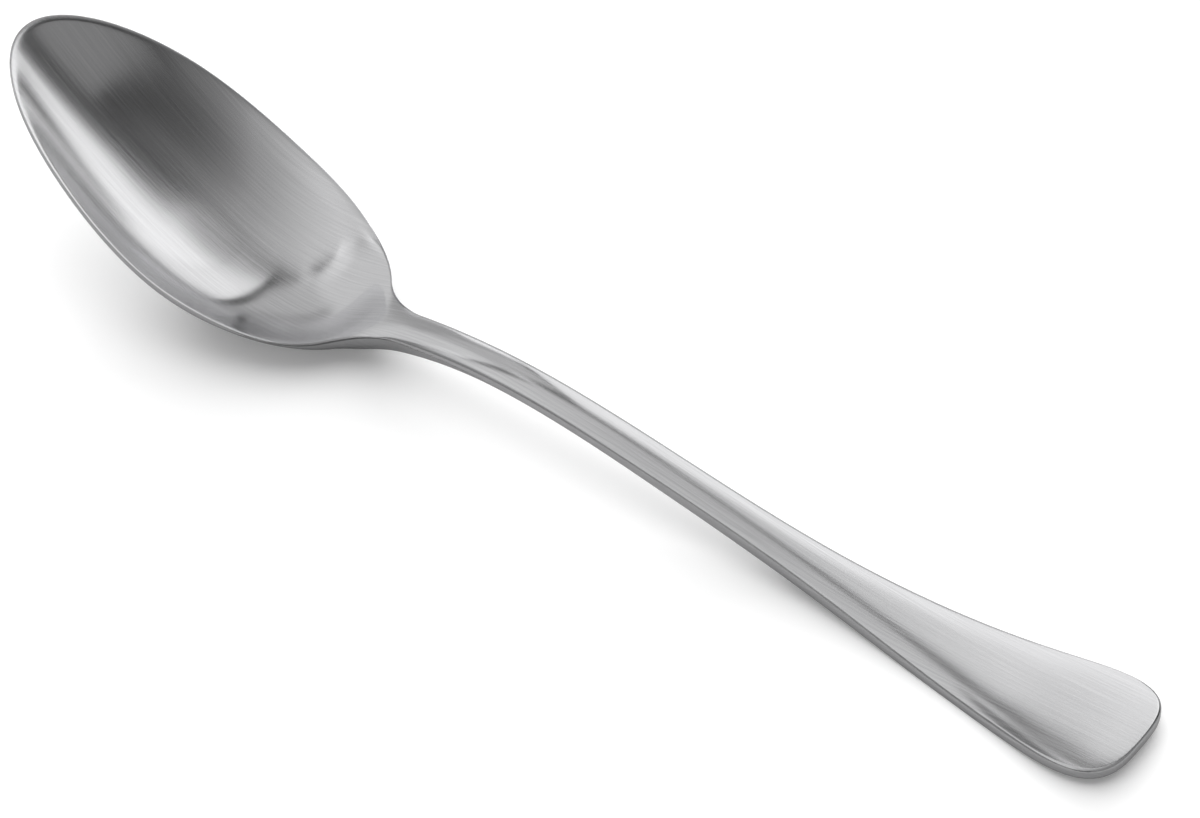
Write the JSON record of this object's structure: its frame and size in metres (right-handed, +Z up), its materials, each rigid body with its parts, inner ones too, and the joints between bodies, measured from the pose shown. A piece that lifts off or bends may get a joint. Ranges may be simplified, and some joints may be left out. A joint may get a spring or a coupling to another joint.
{
  "type": "soup spoon",
  "caption": "Brushed steel soup spoon with a deep egg-shaped bowl, slim arched stem and flaring handle with a softly squared end.",
  "frame": {"origin": "on the table, under the middle of the spoon's length and width", "axes": "+X from the bowl's tip to the handle's end, +Z up from the table with the hollow of the bowl facing up"},
  "size_m": [0.205, 0.0372, 0.0303],
  "materials": {
    "brushed_steel": "brushed along the length, polished rim and edges"
  },
  "bodies": {
    "root": {"spoon": "brushed_steel"}
  },
  "joints": []
}
